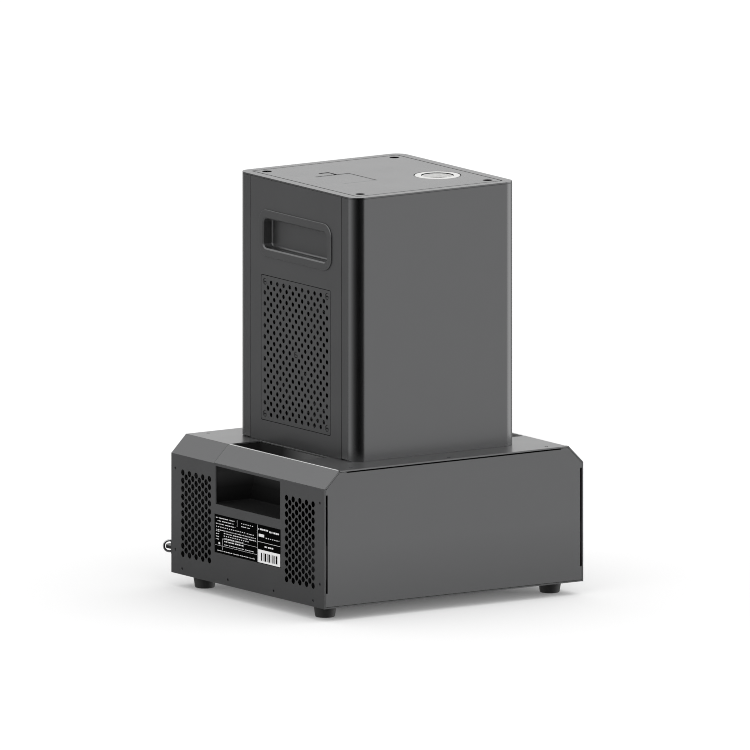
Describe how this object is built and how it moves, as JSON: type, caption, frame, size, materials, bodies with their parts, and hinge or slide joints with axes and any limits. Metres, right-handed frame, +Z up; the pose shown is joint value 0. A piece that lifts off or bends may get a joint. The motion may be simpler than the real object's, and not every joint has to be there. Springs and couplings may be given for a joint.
{
  "type": "cold spark machine",
  "caption": "Cold spark fountain machine with a filler lid, nozzle and vent grilles, docked on a low battery pack with hand wells and rubber feet.",
  "frame": {"origin": "centre of the object's bounding box, on the floor under the feet", "axes": "+Z up, -Y the plain front, +X to the right seen from the front"},
  "size_m": [0.31, 0.2918, 0.4173],
  "materials": {
    "pack_body": "satin powder coat, dark grey",
    "pack_sides": "satin powder coat, dark grey",
    "machine_shell": "satin anodised look, dark grey",
    "machine_sides": "satin powder coat, dark grey",
    "feet": "matt black rubber",
    "rating_plate": "black printed film",
    "handle_plastic": "fine texture, the grey of the sides",
    "black_plastic": "fine texture",
    "switches": "smooth",
    "eye_metal": "black",
    "ring_chrome": "polished",
    "bright_steel": "turned",
    "plain_steel": "plain",
    "heat_sink": "extruded",
    "battery": "black shrink film",
    "board": "solder mask",
    "display": "smooth dark window"
  },
  "bodies": {
    "pack": {"foot_front_left": "feet", "foot_front_right": "feet", "foot_rear_left": "feet", "foot_rear_right": "feet", "pack_base_tray": "pack_sides", "pack_front_panel": "pack_body", "pack_rear_panel": "pack_body", "pack_side_panel_left": "pack_sides", "pack_side_panel_right": "pack_sides", "rating_plate": "rating_plate", "handle_bar_left": "pack_body", "handle_bar_right": "pack_body", "hand_well_left": "pack_sides", "hand_well_right": "pack_sides", "pack_top_plate": "pack_body", "battery_module": "battery", "inverter_module": "heat_sink", "dock_socket": "black_plastic", "charge_gauge": "display", "charge_module": "black_plastic", "safety_eye": "eye_metal"},
    "machine": {"machine_base_plate": "machine_sides", "dock_plug": "black_plastic", "front_shell": "machine_shell", "rear_shell": "machine_shell", "side_panel_left": "machine_sides", "side_panel_right": "machine_sides", "vent_grille_left": "machine_sides", "vent_grille_right": "machine_sides", "handle_pocket_left": "handle_plastic", "handle_pocket_right": "handle_plastic", "top_frame": "machine_shell", "top_cover": "machine_shell", "lid_hinge_pin": "plain_steel", "nozzle_ring": "bright_steel", "spark_tube": "plain_steel", "blower_housing": "black_plastic", "burner_chamber": "plain_steel", "hopper": "plain_steel", "feed_motor": "plain_steel", "cooling_fan_frame": "black_plastic", "power_supply": "plain_steel", "control_board": "board", "display_lens": "display", "power_module": "black_plastic", "data_input": "black_plastic", "data_output": "black_plastic"},
    "filler_lid": {"filler_lid": "machine_shell"},
    "feed_auger": {"feed_auger": "plain_steel"},
    "blower_wheel": {"blower_wheel": "black_plastic"},
    "cooling_fan": {"cooling_fan_rotor": "black_plastic"},
    "power_switch": {"power_switch_rocker": "switches"},
    "pack_switch": {"pack_switch_rocker": "switches"},
    "gauge_button": {"gauge_button": "switches"},
    "safety_ring": {"safety_ring": "ring_chrome"},
    "menu_button_1": {"menu_button_1": "switches"},
    "menu_button_2": {"menu_button_2": "switches"},
    "menu_button_3": {"menu_button_3": "switches"},
    "menu_button_4": {"menu_button_4": "switches"}
  },
  "joints": [
    {"name": "machine_lift", "type": "slide", "parent": "pack", "child": "machine", "axis": [0, 0, 1], "range_m": [0, 0.1]},
    {"name": "filler_lid_hinge", "type": "hinge", "parent": "machine", "child": "filler_lid", "pos_m": [-0.035, -0.0289, 0.4158], "axis": [1, 0, 0], "range_deg": [0, 100]},
    {"name": "feed_auger_spin", "type": "hinge", "parent": "machine", "child": "feed_auger", "pos_m": [0.0519, -0.0389, 0.2999], "axis": [-0.9331, 0.3597, 0], "continuous": true},
    {"name": "blower_spin", "type": "hinge", "parent": "machine", "child": "blower_wheel", "pos_m": [-0.0041, -0.0149, 0.17], "axis": [0, 0, 1], "continuous": true},
    {"name": "cooling_fan_spin", "type": "hinge", "parent": "machine", "child": "cooling_fan", "pos_m": [-0.088, -0.0089, 0.24555], "axis": [1, 0, 0], "continuous": true},
    {"name": "power_switch_rock", "type": "hinge", "parent": "machine", "child": "power_switch", "pos_m": [0.016, 0.0967, 0.1933], "axis": [1, 0, 0], "range_deg": [0, 20]},
    {"name": "pack_switch_rock", "type": "hinge", "parent": "pack", "child": "pack_switch", "pos_m": [-0.044, 0.1292, 0.071], "axis": [1, 0, 0], "range_deg": [0, 20]},
    {"name": "gauge_button_press", "type": "slide", "parent": "pack", "child": "gauge_button", "axis": [0, -1, 0], "range_m": [0, 0.0012], "stiffness_N_per_m": 400},
    {"name": "safety_ring_swing", "type": "hinge", "parent": "pack", "child": "safety_ring", "pos_m": [-0.1447, 0.1368, 0.0374], "axis": [0, 0, 1], "range_deg": [-148, 36]},
    {"name": "menu_button_1_press", "type": "slide", "parent": "machine", "child": "menu_button_1", "axis": [0, -1, 0], "range_m": [0, 0.0012], "stiffness_N_per_m": 400},
    {"name": "menu_button_2_press", "type": "slide", "parent": "machine", "child": "menu_button_2", "axis": [0, -1, 0], "range_m": [0, 0.0012], "stiffness_N_per_m": 400},
    {"name": "menu_button_3_press", "type": "slide", "parent": "machine", "child": "menu_button_3", "axis": [0, -1, 0], "range_m": [0, 0.0012], "stiffness_N_per_m": 400},
    {"name": "menu_button_4_press", "type": "slide", "parent": "machine", "child": "menu_button_4", "axis": [0, -1, 0], "range_m": [0, 0.0012], "stiffness_N_per_m": 400}
  ]
}
